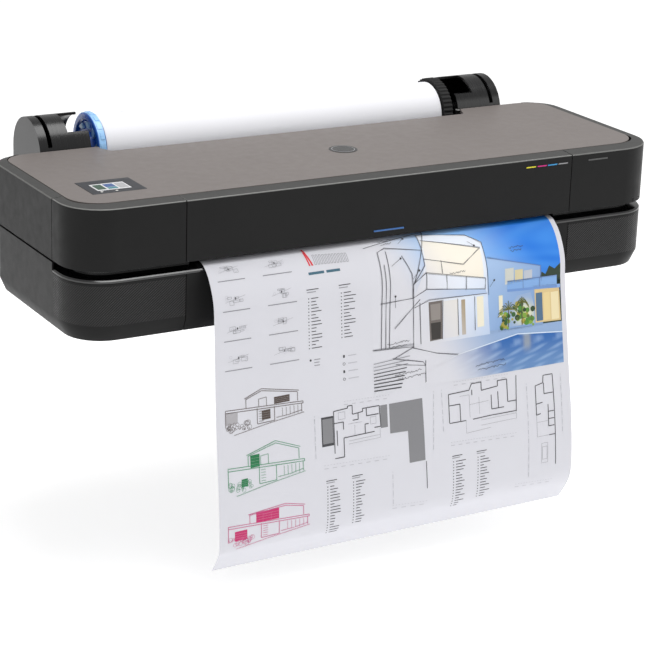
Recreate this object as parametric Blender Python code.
"""Large format plotter: desk-top roll plotter with a printed sheet hanging from its output slot.

Metres, +Z up, front towards -Y. The origin is the centre of the base pan's underside.
"""

import math

import bmesh
import bpy
from mathutils import Vector

# Body
HALF_WIDTH = 0.5035
FRONT_Y = -0.200
REAR_Y = 0.130
FRONT_RADIUS = 0.065
REAR_RADIUS = 0.045
WALL = 0.003
SEAM_X = 0.333
SIDE_SEAM_Y = -0.113
SEAM = 0.0010
FIT = 0.0004

# Levels of the two housings and the slot between them
CHAMFER_HEIGHT = 0.021
CHAMFER_INSET = 0.009
LIP_BOTTOM = 0.0880
LIP_TOP = 0.0930
SIDE_SPLIT = 0.1026
SLOT_TOP = 0.1054
RIM_EDGE = 0.1950
RIM_SIDE = 0.0167
RIM_FRONT = 0.0274
RIM_REAR = 0.0033
PLATE_BOTTOM = 0.1922
PLATE_TOP = 0.1988
NOTCH_Y = 0.092
NOTCH_HALF_FRONT = 0.318
NOTCH_HALF_REAR = 0.332

# Roll and its holders
ROLL_Y = 0.1875
ROLL_Z = 0.183
ROLL_RADIUS = 0.0500
CORE_RADIUS = 0.0275
SPINDLE_RADIUS = 0.012
GEAR_RADIUS = 0.0560
DRIVE_RADIUS = 0.0200
DRIVE_Z = ROLL_Z - GEAR_RADIUS - DRIVE_RADIUS - 0.0006
HOLDER_RADIUS = 0.056
HOLDER_OUTER_X = 0.4185
HOLDER_STEP_X = 0.368
HOLDER_INNER_X = 0.334
HOLDER_WALL = 0.004
TRAY_HALF = 0.4185
TRAY_TOP = 0.118
REAR_DEPTH = ROLL_Y + HOLDER_RADIUS

# Paper
PAPER_HALF = 0.305
PAPER_T = 0.0006
PAPER_Z = 0.0992
SHEET_PIVOT_Y = -0.2050
SHEET_PIVOT_Z = 0.0925

# Feed and carriage
FEED_RADIUS = 0.012
FEED_Y = 0.020
FEED_Z = PAPER_Z - 0.0004 - FEED_RADIUS
PINCH_RADIUS = 0.006
PINCH_Z = PAPER_Z + PAPER_T + 0.0004 + PINCH_RADIUS
FRAME_X = 0.470
PULLEY_X = 0.4465
PULLEY_Y = 0.087
PULLEY_RADIUS = 0.0086
BELT_Z = 0.166
CARRIAGE_X = 0.395
GUIDE_Y = 0.022
GUIDE_Z = 0.130
GUIDE_RADIUS = 0.005
COVER_HINGE_Y = 0.1235
COVER_HINGE_Z = PLATE_TOP - 0.0036
DOOR_HINGE_Y = -0.187
DOOR_HINGE_Z = 0.1100

COLOURS = {
    "taupe": ((0.26, 0.245, 0.24), 0.42, 0.0),
    "dark_plastic": ((0.030, 0.030, 0.031), 0.55, 0.0),
    "gloss_black": ((0.010, 0.010, 0.011), 0.15, 0.0),
    "bezel_grey": ((0.065, 0.070, 0.078), 0.45, 0.0),
    "screen": ((0.85, 0.87, 0.90), 0.10, 0.0),
    "blue_plastic": ((0.02, 0.13, 0.55), 0.30, 0.0),
    "paper": ((0.90, 0.90, 0.92), 0.80, 0.0),
    "steel": ((0.55, 0.55, 0.56), 0.35, 1.0),
    "rubber": ((0.02, 0.02, 0.02), 0.90, 0.0),
    "white_plastic": ((0.75, 0.75, 0.74), 0.50, 0.0),
    "board_green": ((0.02, 0.20, 0.08), 0.50, 0.0),
    "copper_plate": ((0.60, 0.60, 0.55), 0.40, 1.0),
    "light_strip": ((0.05, 0.20, 0.45), 0.30, 0.0),
    "yellow": ((0.85, 0.65, 0.02), 0.40, 0.0),
    "magenta": ((0.70, 0.03, 0.25), 0.40, 0.0),
    "cyan": ((0.02, 0.45, 0.75), 0.40, 0.0),
}


def clear_scene():
    for item in list(bpy.data.objects):
        bpy.data.objects.remove(item, do_unlink=True)


def material(name):
    found = bpy.data.materials.get(name)
    if found:
        return found
    colour, roughness, metallic = COLOURS[name]
    made = bpy.data.materials.new(name)
    made.use_nodes = True
    shader = made.node_tree.nodes["Principled BSDF"]
    shader.inputs["Base Color"].default_value = (*colour, 1.0)
    shader.inputs["Roughness"].default_value = roughness
    shader.inputs["Metallic"].default_value = metallic
    return made


def add(name, points, faces, finish, pivot=(0, 0, 0), smooth=True):
    """Make an object from world-space points, with its origin at the pivot."""
    mesh = bpy.data.meshes.new(name)
    centre = Vector(pivot)
    mesh.from_pydata([Vector(p) - centre for p in points], [], faces)
    tidy = bmesh.new()
    tidy.from_mesh(mesh)
    bmesh.ops.recalc_face_normals(tidy, faces=tidy.faces)
    tidy.to_mesh(mesh)
    tidy.free()
    if smooth:
        mesh.shade_smooth()
        mesh.set_sharp_from_angle(angle=math.radians(35))
    made = bpy.data.objects.new(name, mesh)
    made.location = centre
    bpy.context.scene.collection.objects.link(made)
    if finish:
        mesh.materials.append(material(finish))
    return made


def loft(name, rings, finish, closed=False, **options):
    """Skin rings of equal count; closed joins the last ring to the first, otherwise both ends are capped."""
    count = len(rings[0])
    points = [p for ring in rings for p in ring]
    faces = []
    spans = len(rings) if closed else len(rings) - 1
    for level in range(spans):
        low = level * count
        high = ((level + 1) % len(rings)) * count
        for i in range(count):
            j = (i + 1) % count
            faces.append((low + i, low + j, high + j, high + i))
    if not closed:
        faces.append(tuple(range(count)))
        faces.append(tuple(range(len(points) - count, len(points))))
    return add(name, points, faces, finish, **options)


AXES = {"X": (1, 2, 0), "Y": (2, 0, 1), "Z": (0, 1, 2)}


def prism(name, profile, axis, low, high, finish, **options):
    """Extrude a 2-D profile along an axis: (y, z) along X, (z, x) along Y or (x, y) along Z."""
    first, second, along = AXES[axis]
    rings = []
    for level in (low, high):
        ring = []
        for a, b in profile:
            point = [0.0, 0.0, 0.0]
            point[first] = a
            point[second] = b
            point[along] = level
            ring.append(tuple(point))
        rings.append(ring)
    return loft(name, rings, finish, **options)


def box(name, low, high, finish, **options):
    (x0, y0, z0), (x1, y1, z1) = low, high
    return prism(name, [(x0, y0), (x1, y0), (x1, y1), (x0, y1)], "Z", z0, z1, finish, **options)


def circle(centre, radius, count, start=0.0, turn=math.tau):
    """Points on a circle, or on an arc with both ends when turn is under a full circle."""
    steps = count if turn >= math.tau else count - 1
    angles = [start + turn * i / steps for i in range(count)]
    return [(centre[0] + radius * math.cos(a), centre[1] + radius * math.sin(a)) for a in angles]


def turned(name, profile, centre, finish, count=24, **options):
    """A turned piece along X: profile holds (x, radius) from left to right, centre is (y, z)."""
    rings = []
    for x, radius in profile:
        rings.append([(x, y, z) for y, z in circle(centre, radius, count)])
    return loft(name, rings, finish, **options)


def tube(name, profile, centre, finish, count=24, **options):
    """A turned piece along X with a bore: profile is a closed loop of (x, radius)."""
    rings = []
    for x, radius in profile:
        rings.append([(x, y, z) for y, z in circle(centre, radius, count)])
    return loft(name, rings, finish, closed=True, **options)


def toothed(centre, tip, depth, teeth):
    """Outline of a gear: each tooth has two tip points and two root points."""
    outline = []
    for i in range(teeth * 4):
        radius = tip if i % 4 < 2 else tip - depth
        angle = math.tau * (i + 0.25) / (teeth * 4)
        outline.append((centre[0] + radius * math.cos(angle), centre[1] + radius * math.sin(angle)))
    return outline


def combine(target, operation, *tools):
    """Boolean with helper objects that stay hidden."""
    for tool in tools:
        tool.hide_render = True
        tool.display_type = "WIRE"
        step = target.modifiers.new(operation.lower(), "BOOLEAN")
        step.operation = operation
        step.object = tool
    return target


def cutter(name, low, high):
    return box("cutter_" + name, low, high, None, smooth=False)


def rod_cutter(name, axis, centre, radius, low, high, count=16):
    return prism("cutter_" + name, circle(centre, radius, count), axis, low, high, None)


def body_ring(inset_x, inset_y, z, inset_rear=None, count=9):
    """The body's plan outline, a rectangle with round corners, moved inwards."""
    corners = (
        (-1, -1, math.pi, FRONT_RADIUS),
        (1, -1, math.pi * 1.5, FRONT_RADIUS),
        (1, 1, 0.0, REAR_RADIUS),
        (-1, 1, math.pi * 0.5, REAR_RADIUS),
    )
    ring = []
    for side, end, start, radius in corners:
        edge = FRONT_Y if end < 0 else REAR_Y
        cx = side * (HALF_WIDTH - radius)
        cy = edge - end * radius
        depth = inset_y if end < 0 or inset_rear is None else inset_rear
        for i in range(count):
            angle = start + math.pi / 2 * i / (count - 1)
            x = cx + (radius - inset_x) * math.cos(angle)
            y = cy + (radius - depth) * math.sin(angle)
            ring.append((x, y, z))
    return ring


def upper_ring(name, finish, foot=None):
    """The whole upper wall with the flat rim at its top, before it is cut into panels."""
    outer_foot = foot or [body_ring(0, 0, SLOT_TOP)]
    inner_foot = [body_ring(WALL, WALL, SLOT_TOP)]
    if foot:
        inset = CHAMFER_INSET + WALL
        inner_foot = [body_ring(WALL, WALL, CHAMFER_HEIGHT + 0.001), body_ring(inset, inset, 0)]
    rings = outer_foot + [
        body_ring(0, 0, RIM_EDGE),
        body_ring(0.0012, 0.0012, RIM_EDGE + 0.0018),
        body_ring(RIM_SIDE, RIM_FRONT, PLATE_TOP - 0.0006, RIM_REAR),
        body_ring(RIM_SIDE, RIM_FRONT, PLATE_BOTTOM, RIM_REAR),
        body_ring(WALL, WALL, PLATE_BOTTOM),
    ]
    return loft(name, rings + inner_foot, finish, closed=True)


def lower_ring(name, finish):
    """The whole lower wall with its inward chamfer at the foot."""
    rings = [
        body_ring(CHAMFER_INSET, CHAMFER_INSET, 0),
        body_ring(0, 0, CHAMFER_HEIGHT),
        body_ring(0, 0, SIDE_SPLIT),
        body_ring(WALL, WALL, SIDE_SPLIT),
        body_ring(WALL, WALL, CHAMFER_HEIGHT + 0.001),
        body_ring(CHAMFER_INSET + WALL, CHAMFER_INSET + WALL, 0),
    ]
    return loft(name, rings, finish, closed=True)


FAR = 0.7
HALF_SEAM = SEAM / 2
REAR_SEAM_X = 0.445
REAR_SEAM_Y = 0.080


def upper_housing():
    slab = 0.188
    rear_flange = cutter("rear_flange", (-0.456, 0.090, slab), (0.456, FAR, 0.21))

    left = upper_ring("left_corner_cover", "dark_plastic")
    corner_end = (-SEAM_X - HALF_SEAM, SIDE_SEAM_Y - HALF_SEAM, 0.3)
    combine(left, "INTERSECT", cutter("left_corner", (-FAR, -FAR, 0), corner_end))

    for side, word in ((-1, "left"), (1, "right")):
        panel = upper_ring(word + "_side_panel", "dark_plastic")
        inner = 0.33 * side
        outer = FAR * side
        keep = cutter(
            word + "_side",
            (min(inner, outer), SIDE_SEAM_Y + HALF_SEAM, 0),
            (max(inner, outer), FAR, 0.3),
        )
        edge = REAR_SEAM_X * side
        rear = cutter(
            word + "_side_rear",
            (min(0, edge), REAR_SEAM_Y, 0),
            (max(0, edge), FAR, 0.3),
        )
        combine(panel, "INTERSECT", keep)
        combine(panel, "DIFFERENCE", rear, rear_flange)

    foot = [body_ring(CHAMFER_INSET, CHAMFER_INSET, 0), body_ring(0, 0, CHAMFER_HEIGHT)]
    rear = upper_ring("rear_cover", "dark_plastic", foot)
    low_half = SEAM_X - HALF_SEAM
    high_half = REAR_SEAM_X - SEAM
    keep = [
        (-0.1, -low_half), (-0.1, low_half), (SLOT_TOP, low_half), (SLOT_TOP, high_half), (0.3, high_half),
        (0.3, -high_half), (SLOT_TOP, -high_half), (SLOT_TOP, -low_half),
    ]
    rear_start = REAR_SEAM_Y + 0.02
    combine(rear, "INTERSECT", prism("cutter_rear_keep", keep, "Y", rear_start, FAR, None, smooth=False))
    entry = cutter("paper_entry", (-0.336, 0.090, 0.1135), (0.336, FAR, 0.3))
    combine(rear, "DIFFERENCE", rear_flange, entry)
    for side in (-1, 1):
        low_x, high_x = sorted((0.3252 * side, 0.3312 * side))
        post_top = (high_x, 0.1295, COVER_HINGE_Z + 0.0030)
        post = cutter("hinge_post_%d" % side, (low_x, 0.1215, 0.108), post_top)
        post.modifiers.new("round", "BEVEL").width = 0.0012
        combine(rear, "UNION", post)
        low_x, high_x = sorted((0.3270 * side, 0.3500 * side))
        pin = circle((COVER_HINGE_Y, COVER_HINGE_Z), 0.0015, 12)
        combine(rear, "UNION", prism("cutter_hinge_pin_%d" % side, pin, "X", low_x, high_x, None))

    front = upper_ring("front_panel", "dark_plastic")
    front_start = (-SEAM_X + HALF_SEAM, -FAR, 0)
    combine(front, "INTERSECT", cutter("front_keep", front_start, (SEAM_X - HALF_SEAM, -0.1, 0.3)))
    move_origin(front, (0, COVER_HINGE_Y, COVER_HINGE_Z))

    door = upper_ring("ink_door", "dark_plastic")
    door_start = (SEAM_X + HALF_SEAM, -FAR, 0)
    combine(door, "INTERSECT", cutter("door_keep", door_start, (FAR, SIDE_SEAM_Y - HALF_SEAM, 0.3)))
    for index, x in enumerate((0.352, 0.452)):
        knuckle = [
            (DOOR_HINGE_Y - 0.0105, DOOR_HINGE_Z - 0.0032),
            (DOOR_HINGE_Y + 0.0010, DOOR_HINGE_Z - 0.0032),
            (DOOR_HINGE_Y + 0.0032, DOOR_HINGE_Z - 0.0012),
            (DOOR_HINGE_Y + 0.0032, DOOR_HINGE_Z + 0.0012),
            (DOOR_HINGE_Y + 0.0010, DOOR_HINGE_Z + 0.0032),
            (DOOR_HINGE_Y - 0.0105, DOOR_HINGE_Z + 0.0032),
        ]
        tab = prism("cutter_door_knuckle_%d" % index, knuckle, "X", x, x + 0.008, None, smooth=False)
        combine(door, "UNION", tab)
    bore = rod_cutter("door_bore", "X", (DOOR_HINGE_Y, DOOR_HINGE_Z), 0.0019, 0.34, 0.48)
    combine(door, "DIFFERENCE", bore)
    move_origin(door, (0.4, DOOR_HINGE_Y, DOOR_HINGE_Z))


def move_origin(piece, pivot):
    """Put an object's origin on its joint axis and leave its shape where it is."""
    shift = Vector(pivot) - piece.location
    for vertex in piece.data.vertices:
        vertex.co -= shift
    piece.location += shift


def lower_housing():
    step = cutter("slot_step", (-FAR, -FAR, LIP_BOTTOM - 0.0004), (FAR, SIDE_SEAM_Y, 0.3))
    for side, word in ((-1, "left"), (1, "right")):
        piece = lower_ring("lower_%s_housing" % word, "dark_plastic")
        low_x, high_x = sorted(((SEAM_X + HALF_SEAM) * side, FAR * side))
        combine(piece, "INTERSECT", cutter(word + "_lower", (low_x, -FAR, -0.1), (high_x, FAR, 0.3)))
        combine(piece, "DIFFERENCE", step)

    front = lower_ring("lower_front_panel", "dark_plastic")
    front_start = (-SEAM_X + HALF_SEAM, -FAR, -0.1)
    combine(front, "INTERSECT", cutter("lower_front", front_start, (SEAM_X - HALF_SEAM, 0, 0.3)))
    combine(front, "DIFFERENCE", step)

    rings = [
        body_ring(0, 0, LIP_BOTTOM),
        body_ring(0, 0, LIP_BOTTOM + 0.0026),
        body_ring(0.0022, 0.0022, LIP_TOP - 0.0004),
        body_ring(0.0060, 0.0060, LIP_TOP),
        body_ring(0.0240, 0.0240, LIP_TOP + 0.0020),
        body_ring(0.0240, 0.0240, LIP_BOTTOM),
    ]
    lip = loft("output_lip", rings, "gloss_black", closed=True)
    combine(lip, "INTERSECT", cutter("lip_keep", (-FAR, -FAR, 0), (FAR, SIDE_SEAM_Y - 0.0006, 0.3)))

    for side, word in ((-1, "left"), (1, "right")):
        rings = [
            body_ring(0.0215, 0.0215, LIP_TOP - 0.0010),
            body_ring(0.0215, 0.0215, SLOT_TOP - 0.0006),
            body_ring(0.0235, 0.0235, SLOT_TOP - 0.0006),
            body_ring(0.0235, 0.0235, LIP_TOP - 0.0010),
        ]
        liner = loft("cutter_%s_slot_liner" % word, rings, None, closed=True)
        low_x, high_x = sorted((0.318 * side, FAR * side))
        liner_end = (high_x, SIDE_SEAM_Y - 0.0014, 0.3)
        combine(liner, "INTERSECT", cutter(word + "_liner", (low_x, -FAR, 0), liner_end))
        combine(lip, "UNION", liner)


def base():
    pan_inset = CHAMFER_INSET + WALL + 0.0006
    pan = loft(
        "base_pan",
        [body_ring(pan_inset, pan_inset, 0), body_ring(pan_inset, pan_inset, 0.0020)],
        "steel",
    )
    for index, y in enumerate((-0.12, 0.07)):
        rib = box("cutter_pan_rib_%d" % index, (-0.412, y - 0.006, 0.001), (0.412, y + 0.006, 0.006), None)
        combine(pan, "UNION", rib)
    places = (("fl", -0.43, -0.145), ("fr", 0.43, -0.145), ("rl", -0.43, 0.09), ("rr", 0.43, 0.09))
    for word, x, y in places:
        hole = prism("cutter_foot_" + word, circle((x, y), 0.0134, 16), "Z", -0.01, 0.02, None)
        combine(pan, "DIFFERENCE", hole)
        rings = []
        for z, radius in (
            (0.0040, 0.0150), (0.0023, 0.0155), (0.0022, 0.0130), (-0.0050, 0.0126), (-0.0060, 0.0116),
        ):
            rings.append([(px, py, z) for px, py in circle((x, y), radius, 16)])
        loft("foot_" + word, rings, "rubber")


def plate_outline():
    """Plan of the top plate: round corners all round and a notch at the rear where the roll sits."""
    half = HALF_WIDTH - RIM_SIDE - 0.0008
    front = FRONT_Y + RIM_FRONT + 0.0008
    radius = FRONT_RADIUS - RIM_SIDE
    rear_radius = 0.035
    rear = COVER_HINGE_Y
    bite = 0.008
    outline = circle((-half + radius, front + radius), radius, 9, math.pi, math.pi / 2)
    outline += circle((half - radius, front + radius), radius, 9, math.pi * 1.5, math.pi / 2)
    outline += circle((half - rear_radius, rear - rear_radius), rear_radius, 6, 0.0, math.pi / 2)
    outline += [(NOTCH_HALF_REAR, rear), (NOTCH_HALF_FRONT + 0.004, NOTCH_Y + bite)]
    outline += circle((NOTCH_HALF_FRONT - bite + 0.0035, NOTCH_Y + bite), bite, 5, -0.1, -1.47)
    mirrored = circle((-NOTCH_HALF_FRONT + bite - 0.0035, NOTCH_Y + bite), bite, 5, math.pi * 1.5, -1.47)
    outline += mirrored + [(-NOTCH_HALF_FRONT - 0.004, NOTCH_Y + bite), (-NOTCH_HALF_REAR, rear)]
    outline += circle((-half + rear_radius, rear - rear_radius), rear_radius, 6, math.pi / 2, math.pi / 2)
    return outline


BEZEL = ((-0.445, -0.126), (-0.360, -0.058))
GLASS = ((-0.431, -0.111), (-0.377, -0.076))


def top_cover():
    hinge = (0, COVER_HINGE_Y, COVER_HINGE_Z)
    plate = prism("top_plate", plate_outline(), "Z", PLATE_BOTTOM, PLATE_TOP, "taupe", pivot=hinge)
    for side in (-1, 1):
        inner, outer = sorted((0.3375 * side, 0.4435 * side))
        barrel = circle((COVER_HINGE_Y, COVER_HINGE_Z), 0.0036, 16)
        combine(plate, "UNION", prism("cutter_barrel_%d" % side, barrel, "X", inner, outer, None))
        start, end = sorted((0.3300 * side, 0.352 * side))
        bore = rod_cutter("barrel_bore_%d" % side, "X", (COVER_HINGE_Y, COVER_HINGE_Z), 0.0019, start, end)
        combine(plate, "DIFFERENCE", bore)
    (x0, y0), (x1, y1) = BEZEL
    combine(plate, "DIFFERENCE", cutter("bezel_pocket", (x0, y0, 0.18), (x1, y1, 0.22)))

    gap = 0.0004
    bezel = box(
        "control_bezel",
        (x0 + gap, y0 + gap, 0.1890),
        (x1 - gap, y1 - gap, PLATE_TOP + 0.0004),
        "bezel_grey",
        pivot=hinge,
    )
    (gx0, gy0), (gx1, gy1) = GLASS
    combine(bezel, "DIFFERENCE", cutter("glass_pocket", (gx0, gy0, PLATE_TOP - 0.0016), (gx1, gy1, 0.22)))
    box(
        "screen_glass",
        (gx0 + gap, gy0 + gap, PLATE_TOP - 0.0012),
        (gx1 - gap, gy1 - gap, PLATE_TOP + 0.0002),
        "screen",
        pivot=hinge,
    )

    frame = cutter("cover_frame", (-0.312, FRONT_Y + 0.0015, 0.1840), (0.312, 0.0860, PLATE_BOTTOM - FIT))
    for index, (a, b) in enumerate(((-0.302, -0.156), (-0.151, -0.005), (0.005, 0.151), (0.156, 0.302))):
        combine(frame, "DIFFERENCE", cutter("frame_bay_%d" % index, (a, -0.160, 0.17), (b, 0.076, 0.1900)))

    box(
        "status_light",
        (-0.022, FRONT_Y - 0.0004, 0.1138),
        (0.030, FRONT_Y + 0.0025, 0.1158),
        "light_strip",
        pivot=hinge,
    )
    panel = bpy.data.objects["front_panel"]
    combine(panel, "UNION", frame)
    low = (-0.0224, FRONT_Y - 0.01, 0.1134)
    combine(panel, "DIFFERENCE", cutter("light_slot", low, (0.0304, FRONT_Y + 0.0029, 0.1162)))


def holder_profile(radius, low):
    """Arch: half a circle on straight sides, in (y, z)."""
    arch = circle((ROLL_Y, ROLL_Z), radius, 17, 0.0, math.pi)
    return [(ROLL_Y + radius, low)] + arch + [(ROLL_Y - radius, low)]


def roll_holders():
    base_z = TRAY_TOP + FIT
    for side, word in ((-1, "left"), (1, "right")):
        low_x, high_x = sorted((HOLDER_INNER_X * side, HOLDER_OUTER_X * side))
        arch = holder_profile(HOLDER_RADIUS, base_z)
        holder = prism(word + "_roll_holder", arch, "X", low_x, high_x, "gloss_black")
        inner = HOLDER_RADIUS - HOLDER_WALL
        floor_z = base_z + HOLDER_WALL
        a, b = sorted(((HOLDER_INNER_X - 0.01) * side, (HOLDER_OUTER_X - 0.010) * side))
        hollow = prism("cutter_%s_hollow" % word, holder_profile(inner, floor_z), "X", a, b, None)
        combine(holder, "DIFFERENCE", hollow)
        a, b = sorted(((HOLDER_INNER_X - 0.01) * side, HOLDER_STEP_X * side))
        opening = cutter(word + "_cradle_mouth", (a, 0.0, ROLL_Z + 0.036), (b, ROLL_Y + 0.006, 0.3))
        combine(holder, "DIFFERENCE", opening)
        a, b = sorted((0.3975 * side, 0.4045 * side))
        groove = cutter(word + "_groove", (a, 0.0, ROLL_Z + 0.018), (b, ROLL_Y + 0.020, 0.3))
        combine(holder, "DIFFERENCE", groove)

        a, b = sorted((0.3520 * side, 0.3580 * side))
        wall_top = ROLL_Z + 0.014
        half = HOLDER_RADIUS - HOLDER_WALL + 0.0010
        web = [
            (ROLL_Y - half, floor_z - 0.0010),
            (ROLL_Y + half, floor_z - 0.0010),
            (ROLL_Y + half, wall_top - 0.02),
            (ROLL_Y + 0.030, wall_top),
            (ROLL_Y + 0.0125, wall_top),
        ]
        web += circle((ROLL_Y, ROLL_Z), 0.0125, 9, 0.0, -math.pi)
        web += [(ROLL_Y - 0.0125, wall_top), (ROLL_Y - 0.030, wall_top), (ROLL_Y - half, wall_top - 0.02)]
        combine(holder, "UNION", prism("cutter_%s_cradle" % word, web, "X", a, b, None))


def tray_profile(front, rear, low, high):
    """Side view of the tray in (y, z), with a slanted lower edge at the rear."""
    return [(front, low), (rear - 0.022, low), (rear, low + 0.026), (rear, high), (front, high)]


def rear_tray():
    low_y = REAR_Y + 0.0006
    outline = tray_profile(low_y, REAR_DEPTH, 0.004, TRAY_TOP)
    tray = prism("rear_tray", outline, "X", -TRAY_HALF, TRAY_HALF, "dark_plastic")
    room = tray_profile(low_y + WALL, REAR_DEPTH - WALL, 0.008, 0.3)
    box_room = tray_profile(low_y + WALL, REAR_DEPTH - WALL, 0.008, TRAY_TOP - 0.004)
    inside = prism("cutter_tray_inside", room, "X", -0.3335, 0.3335, None, smooth=False)
    left = prism("cutter_tray_left", box_room, "X", -TRAY_HALF + WALL, -0.3375, None, smooth=False)
    right = prism("cutter_tray_right", box_room, "X", 0.3375, TRAY_HALF - WALL, None, smooth=False)
    left_vent = cutter("tray_vent", (-0.405, 0.2, 0.030), (-0.350, FAR, 0.085))
    web_gap = cutter("tray_web_gap", (-0.3335, 0.1, 0.1080), (0.3335, low_y + WALL + 0.001, 0.3))
    motor_hole = rod_cutter("roll_motor_hole", "X", (ROLL_Y, DRIVE_Z), 0.0040, 0.32, 0.36)
    combine(tray, "DIFFERENCE", inside, left, right, left_vent, web_gap, motor_hole)


def roll():
    axis = (ROLL_Y, ROLL_Z)
    pivot = (0, ROLL_Y, ROLL_Z)
    turned(
        "spindle",
        [(-0.3665, 0.006), (-0.3655, 0.008), (-0.3605, 0.008), (-0.3604, SPINDLE_RADIUS),
         (0.3604, SPINDLE_RADIUS), (0.3605, 0.008), (0.3655, 0.008), (0.3665, 0.006)],
        axis,
        "gloss_black",
        count=16,
        pivot=pivot,
    )
    bore = SPINDLE_RADIUS + FIT
    nose = CORE_RADIUS - FIT
    tube(
        "blue_hub",
        [(-0.3070, bore), (-0.3070 + 0.020, bore), (-0.3070 + 0.020, nose - 0.002), (-0.3070 + 0.017, nose),
         (-0.3072, nose), (-0.3072, 0.0530), (-0.3190, 0.0530), (-0.3200, 0.0515), (-0.3200, 0.0440),
         (-0.3150, 0.0400), (-0.3150, 0.0240), (-0.3290, 0.0200), (-0.3290, bore)],
        axis,
        "blue_plastic",
        count=32,
        pivot=pivot,
    )
    tube(
        "paper_roll",
        [(-PAPER_HALF, CORE_RADIUS), (PAPER_HALF, CORE_RADIUS), (PAPER_HALF, ROLL_RADIUS),
         (-PAPER_HALF, ROLL_RADIUS)],
        axis,
        "paper",
        count=48,
        pivot=pivot,
    )
    teeth = toothed(axis, GEAR_RADIUS, 0.0016, 48)
    gear = prism("gear_hub", teeth, "X", 0.3072, 0.3240, "gloss_black", smooth=False, pivot=pivot)
    collar = prism("cutter_gear_nose", circle(axis, nose, 24), "X", 0.287, 0.310, None)
    boss = prism("cutter_gear_boss", circle(axis, 0.026, 24), "X", 0.320, 0.332, None)
    combine(gear, "UNION", collar, boss)
    combine(gear, "DIFFERENCE", rod_cutter("gear_bore", "X", axis, bore, 0.27, 0.35, 24))

    teeth = toothed((ROLL_Y, DRIVE_Z), DRIVE_RADIUS, 0.0014, 17)
    centre = (0, ROLL_Y, DRIVE_Z)
    drive = prism("roll_drive_gear", teeth, "X", 0.3090, 0.3230, "white_plastic", smooth=False, pivot=centre)
    shaft = prism("cutter_drive_shaft", circle((ROLL_Y, DRIVE_Z), 0.0025, 12), "X", 0.3220, 0.3440, None)
    combine(drive, "UNION", shaft)
    prism("roll_motor", circle((ROLL_Y, DRIVE_Z), 0.0070, 20), "X", 0.3445, 0.3895, "steel")


def paper_path():
    """Centre line of the web in (y, z): off the roll, over the platen and out to the lip."""
    entry = (0.052, PAPER_Z + PAPER_T / 2)
    reach = ROLL_RADIUS + PAPER_T / 2 + FIT
    dy = ROLL_Y - entry[0]
    dz = ROLL_Z - entry[1]
    span = math.hypot(dy, dz)
    tilt = math.atan2(dz, dy) - math.asin(reach / span)
    touch = math.sqrt(span * span - reach * reach)
    points = [(entry[0] + touch * math.cos(tilt), entry[1] + touch * math.sin(tilt))]
    points += [(0.070, entry[1] + 0.018 * math.tan(tilt) + 0.0006), entry, (0.030, entry[1])]
    points += [(-0.176, entry[1]), (-0.188, entry[1] - 0.0008), (-0.1975, entry[1] - 0.0036)]
    points.append((SHEET_PIVOT_Y + 0.0012, SHEET_PIVOT_Z + 0.0014))
    return points


def hanging_path():
    """Centre line of the hanging sheet in (y, z): out and down from the lip, with a curl at its foot."""
    points = [(SHEET_PIVOT_Y, SHEET_PIVOT_Z)]
    points += [(-0.2130, 0.0835), (-0.2222, 0.0705), (-0.2300, 0.0530), (-0.2358, 0.0300), (-0.2395, 0.0000)]
    points += [(-0.2460, -0.0850), (-0.2560, -0.1800), (-0.2660, -0.2600), (-0.2690, -0.2950)]
    points += [(-0.2665, -0.3200), (-0.2590, -0.3430), (-0.2460, -0.3600)]
    return points


def ribbon(path, thickness):
    """Closed outline of a strip around a centre line."""
    upper = []
    lower = []
    for i, (y, z) in enumerate(path):
        before = path[max(i - 1, 0)]
        after = path[min(i + 1, len(path) - 1)]
        length = math.hypot(after[0] - before[0], after[1] - before[1])
        ny = -(after[1] - before[1]) / length * thickness / 2
        nz = (after[0] - before[0]) / length * thickness / 2
        upper.append((y + ny, z + nz))
        lower.append((y - ny, z - nz))
    return upper + lower[::-1]


def paper():
    prism("paper_web", ribbon(paper_path(), PAPER_T), "X", -PAPER_HALF, PAPER_HALF, "paper")
    pivot = (0, SHEET_PIVOT_Y, SHEET_PIVOT_Z)
    side_view = ribbon(hanging_path(), PAPER_T)
    prism("printed_sheet", side_view, "X", -PAPER_HALF, PAPER_HALF, "paper", pivot=pivot)


def frame():
    for side, word in ((-1, "left"), (1, "right")):
        low_x, high_x = sorted((FRAME_X * side, (FRAME_X + 0.002) * side))
        outline = [
            (-0.095, 0.0066), (0.112, 0.0066), (0.112, 0.150), (0.070, 0.178), (-0.050, 0.178),
            (-0.095, 0.120),
        ]
        prism(word + "_frame", outline, "X", low_x, high_x, "steel")
    reach = FRAME_X - FIT
    rail = [(0.040, 0.118), (0.064, 0.118), (0.064, 0.1205), (0.0425, 0.1205), (0.0425, 0.1575),
            (0.064, 0.1575), (0.064, 0.160), (0.040, 0.160)]
    prism("rail_beam", rail, "X", -reach, reach, "steel", smooth=False)
    prism("guide_shaft", circle((GUIDE_Y, GUIDE_Z), GUIDE_RADIUS, 20), "X", -reach, reach, "steel")

    platen = box("platen", (-0.345, -0.150, 0.0830), (0.345, 0.0040, PAPER_Z - FIT), "dark_plastic")
    combine(platen, "DIFFERENCE", cutter("platen_trough", (-0.330, -0.075, 0.0960), (0.330, -0.025, 0.11)))


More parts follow.
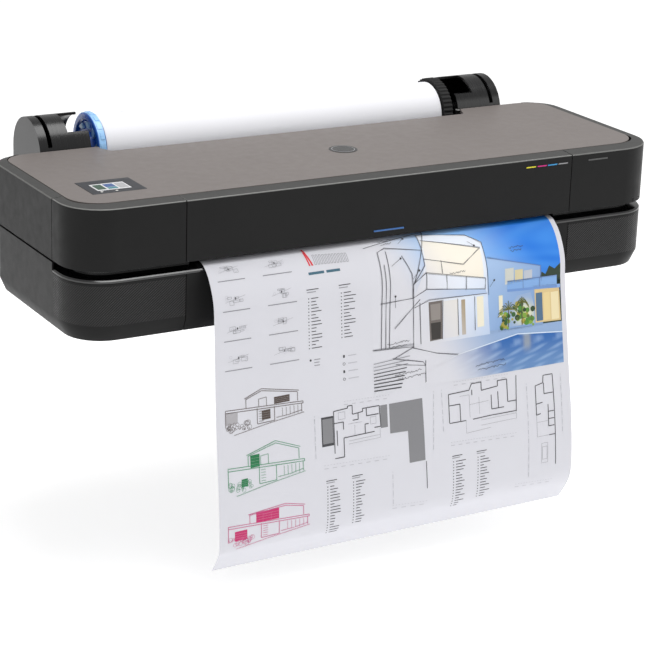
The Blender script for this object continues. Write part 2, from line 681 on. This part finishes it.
def feed_drive():
    axis = (FEED_Y, FEED_Z)
    pivot = (0, FEED_Y, FEED_Z)
    turned(
        "feed_roller",
        [(-0.4640, 0.004), (-0.3500, 0.004), (-0.3499, FEED_RADIUS), (0.3350, FEED_RADIUS), (0.3351, 0.004),
         (0.4600, 0.004)],
        axis,
        "rubber",
        count=20,
        pivot=pivot,
    )
    teeth = toothed(axis, 0.0280, 0.0014, 28)
    gear = prism("feed_gear", teeth, "X", -0.4520, -0.4450, "white_plastic", smooth=False, pivot=pivot)
    combine(gear, "DIFFERENCE", rod_cutter("feed_gear_bore", "X", axis, 0.0044, -0.46, -0.43))

    pinion_y = FEED_Y - 0.0280 - 0.0006 - 0.0080
    pinion = prism(
        "feed_pinion", toothed((pinion_y, FEED_Z), 0.0080, 0.0010, 8), "X", -0.4520, -0.4450, "copper_plate",
        smooth=False, pivot=(0, pinion_y, FEED_Z),
    )
    stub = circle((pinion_y, FEED_Z), 0.0020, 12)
    combine(pinion, "UNION", prism("cutter_pinion_shaft", stub, "X", -0.4460, -0.4410, None))
    prism("feed_motor", circle((pinion_y, FEED_Z), 0.0190, 24), "X", -0.4405, -0.4034, "steel")

    shaft = 0.0025
    half = 0.0150
    step = 0.0001
    profile = [(-0.3300, shaft)]
    for x in (-0.26, -0.13, 0.0, 0.13, 0.26):
        profile += [(x - half - step, shaft), (x - half, PINCH_RADIUS)]
        profile += [(x + half, PINCH_RADIUS), (x + half + step, shaft)]
    profile.append((0.3300, shaft))
    turned("pinch_rollers", profile, (FEED_Y, PINCH_Z), "rubber", count=14, pivot=(0, FEED_Y, PINCH_Z))


def carriage():
    low_x = CARRIAGE_X - 0.045
    high_x = CARRIAGE_X + 0.045
    pivot = (CARRIAGE_X, 0, 0.140)
    outline = [
        (-0.085, 0.1080), (0.006, 0.1080), (0.006, 0.1200), (0.0340, 0.1200), (0.0340, 0.1640),
        (PULLEY_Y - PULLEY_RADIUS - 0.0022, 0.1640), (PULLEY_Y - PULLEY_RADIUS - 0.0022, 0.1720),
        (0.0, 0.1720), (-0.060, 0.1660), (-0.085, 0.1500),
    ]
    body = prism("carriage", outline, "X", low_x, high_x, "dark_plastic", pivot=pivot)
    bore = rod_cutter("guide_bore", "X", (GUIDE_Y, GUIDE_Z), GUIDE_RADIUS + FIT, 0.3, 0.5, 20)
    combine(body, "DIFFERENCE", bore)
    box("print_head", (low_x + 0.008, -0.072, 0.1012), (high_x - 0.008, -0.012, 0.1076), "steel", pivot=pivot)

    inner = belt_loop(PULLEY_RADIUS + FIT)
    outer = belt_loop(PULLEY_RADIUS + FIT + 0.0012)
    rings = []
    for outline, z in ((inner, BELT_Z), (outer, BELT_Z), (outer, BELT_Z + 0.006), (inner, BELT_Z + 0.006)):
        rings.append([(x, y, z) for x, y in outline])
    loft("drive_belt", rings, "rubber", closed=True)

    for side, word in ((-1, "idler"), (1, "motor")):
        centre = (side * PULLEY_X, PULLEY_Y)
        rings = []
        flange = PULLEY_RADIUS + 0.0010
        for z, radius in (
            (BELT_Z - 0.0020, 0.0030), (BELT_Z - 0.0019, flange), (BELT_Z - 0.0006, flange),
            (BELT_Z - 0.0005, PULLEY_RADIUS), (BELT_Z + 0.0070, PULLEY_RADIUS),
        ):
            rings.append([(x, y, z) for x, y in circle(centre, radius, 20)])
        loft(word + "_pulley", rings, "white_plastic", pivot=(*centre, BELT_Z))
    prism("carriage_motor", circle((PULLEY_X, PULLEY_Y), 0.0180, 24), "Z", 0.1100, BELT_Z - 0.0024, "steel")


def belt_loop(radius):
    """Round-ended loop around the two pulleys, in (x, y)."""
    right = circle((PULLEY_X, PULLEY_Y), radius, 9, -math.pi / 2, math.pi)
    left = circle((-PULLEY_X, PULLEY_Y), radius, 9, math.pi / 2, math.pi)
    return right + left


KNIFE_X = -0.395


def paper_knife():
    box("knife_rail", (-0.4400, -0.1400, 0.1300), (0.3400, -0.1340, 0.1400), "steel")
    pivot = (KNIFE_X, 0, 0.120)
    outline = [
        (-0.1560, 0.1060), (-0.1310, 0.1060), (-0.1310, 0.1295), (-0.1330, 0.1295),
        (-0.1330, 0.1440), (-0.1560, 0.1440),
    ]
    low_x, high_x = KNIFE_X - 0.018, KNIFE_X + 0.018
    block = prism("knife_carriage", outline, "X", low_x, high_x, "dark_plastic", pivot=pivot)
    slot = cutter("knife_rail_slot", (-0.5, -0.1405, 0.1296), (0.5, -0.10, 0.1405))
    combine(block, "DIFFERENCE", slot)
    wheel = (-0.1590, 0.1120)
    rings = []
    for y, radius in ((wheel[0] - 0.0012, 0.0085), (wheel[0], 0.0100), (wheel[0] + 0.0024, 0.0085)):
        rings.append([(x, y, z) for x, z in circle((KNIFE_X, wheel[1]), radius, 24)])
    loft("knife_wheel", rings, "steel", pivot=(KNIFE_X, wheel[0], wheel[1]))


def service_station():
    station = box("service_station", (0.3550, -0.0900, 0.0070), (0.4380, 0.0030, 0.0900), "dark_plastic")
    well = cutter("cap_well", (0.3616, -0.0724, 0.0770), (0.4284, -0.0116, 0.1))
    combine(station, "DIFFERENCE", well)
    pivot = (0.395, -0.042, 0.0840)
    cap = box("print_cap", (0.3620, -0.0720, 0.0840), (0.4280, -0.0120, 0.1006), "rubber", pivot=pivot)
    combine(cap, "DIFFERENCE", cutter("cap_pocket", (0.3650, -0.0690, 0.0960), (0.4250, -0.0150, 0.12)))


def ink_supply():
    shelf_z = 0.1150
    bay = box("ink_bay", (0.3440, -0.1800, shelf_z - 0.0040), (0.4660, -0.1010, shelf_z), "dark_plastic")
    back = box("cutter_bay_back", (0.3440, -0.1040, shelf_z - 0.001), (0.4660, -0.1010, 0.1760), None)
    combine(bay, "UNION", back)
    for index, x in enumerate((0.3665, 0.4380)):
        ear = box(
            "cutter_bay_ear_%d" % index, (x, DOOR_HINGE_Y - 0.0032, DOOR_HINGE_Z - 0.0032),
            (x + 0.006, -0.1780, shelf_z - 0.0005), None,
        )
        combine(bay, "UNION", ear)
    pin = circle((DOOR_HINGE_Y, DOOR_HINGE_Z), 0.0015, 12)
    combine(bay, "UNION", prism("cutter_door_hinge_pin", pin, "X", 0.3500, 0.4620, None))
    names = (("black", "gloss_black"), ("cyan", "cyan"), ("magenta", "magenta"), ("yellow", "yellow"))
    for index, (word, finish) in enumerate(names):
        x = 0.3475 + index * 0.0295
        outline = [
            (-0.1760, shelf_z + FIT), (-0.1050, shelf_z + FIT), (-0.1050, 0.1700), (-0.1700, 0.1700),
            (-0.1700, 0.1560), (-0.1760, 0.1500),
        ]
        prism("ink_cartridge_" + word, outline, "X", x, x + 0.0265, finish, smooth=False)


def electronics():
    board = box("main_board", (-0.4600, -0.0900, 0.0280), (-0.3600, 0.1260, 0.0300), "board_green")
    box("power_supply", (0.3600, 0.0120, 0.0070), (0.4600, 0.1000, 0.0620), "steel")
    back = REAR_Y
    inlet_x = 0.4345
    outer = cutter("inlet_hole", (inlet_x - 0.0140, 0.1, 0.0300), (inlet_x + 0.0140, FAR, 0.0740))
    side = bpy.data.objects["lower_right_housing"]
    combine(side, "DIFFERENCE", outer)
    inlet_end = (inlet_x + 0.0136, back + 0.0010, 0.0736)
    inlet = box("mains_inlet", (inlet_x - 0.0136, 0.1080, 0.0304), inlet_end, "gloss_black")
    combine(
        inlet, "DIFFERENCE",
        cutter("inlet_socket", (inlet_x - 0.0105, 0.1160, 0.0330), (inlet_x + 0.0105, 0.2, 0.0520)),
        cutter("rocker_hole", (inlet_x - 0.0105, 0.1160, 0.0545), (inlet_x + 0.0105, 0.2, 0.0715)),
    )
    for index, offset in enumerate((-0.0060, 0.0, 0.0060)):
        x = inlet_x + offset
        blade = cutter("blade_%d" % index, (x - 0.001, 0.1150, 0.0400), (x + 0.001, 0.1280, 0.0450))
        combine(inlet, "UNION", blade)
    rocker_z = 0.0630
    half = 0.0058
    outline = [
        (0.1180, rocker_z - 0.0030), (0.1290, rocker_z - half), (0.1335, rocker_z - half), (0.1315, rocker_z),
        (0.1298, rocker_z + half), (0.1250, rocker_z + half), (0.1180, rocker_z + 0.0030),
    ]
    pivot = (inlet_x, 0.1240, rocker_z)
    low_x = inlet_x - 0.0098
    high_x = inlet_x + 0.0098
    prism("power_rocker", outline, "X", low_x, high_x, "gloss_black", smooth=False, pivot=pivot)
    ports_x = -0.4345
    left = bpy.data.objects["lower_left_housing"]
    port_hole = cutter("port_hole", (ports_x - 0.0200, 0.1, 0.0290), (ports_x + 0.0120, FAR, 0.0520))
    combine(left, "DIFFERENCE", port_hole)
    ports_end = (ports_x + 0.0116, back - 0.0002, 0.0516)
    ports = cutter("network_ports", (ports_x - 0.0196, 0.1050, 0.0295), ports_end)
    combine(
        ports, "DIFFERENCE",
        cutter("network_socket", (ports_x - 0.0165, 0.1160, 0.0330), (ports_x - 0.0035, 0.2, 0.0460)),
        cutter("usb_socket", (ports_x - 0.0005, 0.1160, 0.0330), (ports_x + 0.0085, 0.2, 0.0440)),
    )
    combine(board, "UNION", ports)


clear_scene()
upper_housing()
lower_housing()
base()
top_cover()
roll_holders()
rear_tray()
roll()
paper()
frame()
feed_drive()
carriage()
paper_knife()
service_station()
ink_supply()
electronics()
